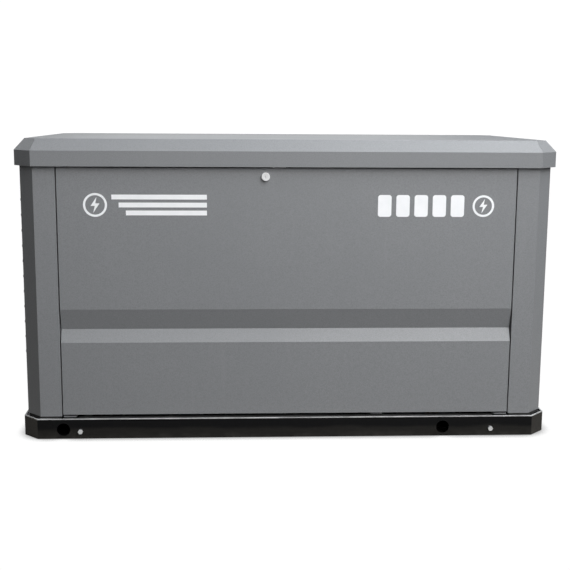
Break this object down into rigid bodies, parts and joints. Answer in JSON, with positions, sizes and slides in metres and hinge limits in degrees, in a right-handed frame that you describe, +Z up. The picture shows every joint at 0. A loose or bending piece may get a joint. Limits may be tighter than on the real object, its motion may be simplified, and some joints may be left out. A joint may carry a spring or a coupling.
{
  "type": "home standby generator",
  "caption": "Air-cooled standby generator in a chamfered steel enclosure with a hinged lid and a lift-off front panel; V-twin engine and alternator inside.",
  "frame": {"origin": "middle of the base tray's underside, on the ground", "axes": "+X to the right as seen from the front, along the longest side; +Y to the back; +Z up"},
  "size_m": [1.244, 0.6788, 0.695],
  "materials": {
    "grey_powder_coat": "satin",
    "black_gloss_coat": "gloss",
    "zinc_plate": "satin",
    "galvanised_sheet": "satin",
    "chrome_lock": "polished",
    "black_rubber": "matte",
    "liner_foam": "matte",
    "white_film": "satin",
    "cast_aluminium": "matte",
    "black_engine_paint": "satin",
    "machined_steel": "satin",
    "exhaust_steel": "matte",
    "core_steel": "matte",
    "brass_fitting": "satin",
    "black_plastic": "matte",
    "yellow_plastic": "gloss",
    "red_plastic": "gloss",
    "yellow_paint": "gloss"
  },
  "bodies": {
    "enclosure": {"base_tray": "black_gloss_coat", "base_frame": "black_gloss_coat", "base_bolts": "zinc_plate", "weather_seals": "black_rubber", "left_side_panel": "grey_powder_coat", "right_side_panel": "grey_powder_coat", "rear_panel": "grey_powder_coat", "rear_panel_screws": "zinc_plate", "front_top_rail": "grey_powder_coat", "front_panel_cradles": "grey_powder_coat", "hinge_body_leaves": "grey_powder_coat", "hinge_pins": "zinc_plate", "bulkheads": "galvanised_sheet", "rubber_mounts": "black_rubber", "crankcase": "cast_aluminium", "cylinders": "cast_aluminium", "cylinder_heads": "cast_aluminium", "rocker_covers": "black_engine_paint", "spark_plugs": "black_rubber", "intake_manifold": "cast_aluminium", "air_filter_box": "black_plastic", "blower_housing": "black_plastic", "oil_filter": "yellow_paint", "starter_motor": "black_engine_paint", "exhaust_pipes": "exhaust_steel", "muffler": "exhaust_steel", "exhaust_outlet": "exhaust_steel", "alternator_housing": "cast_aluminium", "alternator_stator": "core_steel", "alternator_bearing": "machined_steel", "gas_regulator": "cast_aluminium", "gas_pipework": "brass_fitting", "gas_hose": "black_rubber", "conduit_hub": "zinc_plate", "battery": "black_plastic", "battery_cables": "black_rubber", "control_box": "galvanised_sheet", "control_face": "black_plastic"},
    "lid": {"lid": "grey_powder_coat", "lid_foam": "liner_foam", "lid_keeper": "zinc_plate", "hinge_lid_leaves": "grey_powder_coat"},
    "front_panel": {"front_panel": "grey_powder_coat", "front_panel_pins": "zinc_plate", "front_panel_foam": "liner_foam", "front_decals": "white_film", "lock_housing": "chrome_lock", "lock_nut": "zinc_plate"},
    "lock": {"lock_plug": "chrome_lock", "lock_cam": "zinc_plate"},
    "rotating_group": {"crankshaft": "machined_steel", "flywheel": "cast_aluminium", "alternator_rotor": "core_steel", "alternator_fan": "cast_aluminium"},
    "dipstick": {"oil_dipstick": "yellow_plastic"},
    "throttle": {"throttle_lever": "zinc_plate"},
    "gas_lever": {"gas_valve_lever": "yellow_paint"},
    "mode_switch": {"mode_switch": "red_plastic"},
    "stop_button": {"stop_button": "red_plastic"},
    "breaker": {"breaker_toggle": "black_plastic"}
  },
  "joints": [
    {"name": "lid_hinge", "type": "hinge", "parent": "enclosure", "child": "lid", "pos_m": [0, 0.337, 0.632], "axis": [-1, 0, 0], "range_deg": [0, 100]},
    {"name": "front_panel_tilt", "type": "hinge", "parent": "enclosure", "child": "front_panel", "pos_m": [0, -0.308, 0.072], "axis": [1, 0, 0], "range_deg": [0, 80]},
    {"name": "lock_turn", "type": "hinge", "parent": "front_panel", "child": "lock", "pos_m": [-0.0525, -0.3, 0.612], "axis": [0, 1, 0], "range_deg": [0, 180]},
    {"name": "shaft_spin", "type": "hinge", "parent": "enclosure", "child": "rotating_group", "pos_m": [0, 0, 0.24], "axis": [1, 0, 0], "continuous": true},
    {"name": "dipstick_pull", "type": "slide", "parent": "enclosure", "child": "dipstick", "axis": [0, 0, 1], "range_m": [0, 0.18]},
    {"name": "throttle_turn", "type": "hinge", "parent": "enclosure", "child": "throttle", "pos_m": [0.118, 0, 0.499], "axis": [1, 0, 0], "range_deg": [0, 75], "stiffness_Nm_per_rad": 0.05, "springref_deg": -20.05},
    {"name": "gas_valve_turn", "type": "hinge", "parent": "enclosure", "child": "gas_lever", "pos_m": [0.47, 0.231, 0.15], "axis": [0, 0, -1], "range_deg": [0, 90]},
    {"name": "mode_switch_rock", "type": "hinge", "parent": "enclosure", "child": "mode_switch", "pos_m": [0.402, -0.275, 0.49], "axis": [1, 0, 0], "range_deg": [-12, 12]},
    {"name": "stop_press", "type": "slide", "parent": "enclosure", "child": "stop_button", "axis": [0, 1, 0], "range_m": [0, 0.006], "stiffness_N_per_m": 600, "springref_m": -0.003},
    {"name": "breaker_throw", "type": "hinge", "parent": "enclosure", "child": "breaker", "pos_m": [0.402, -0.272, 0.432], "axis": [1, 0, 0], "range_deg": [0, 50]}
  ]
}
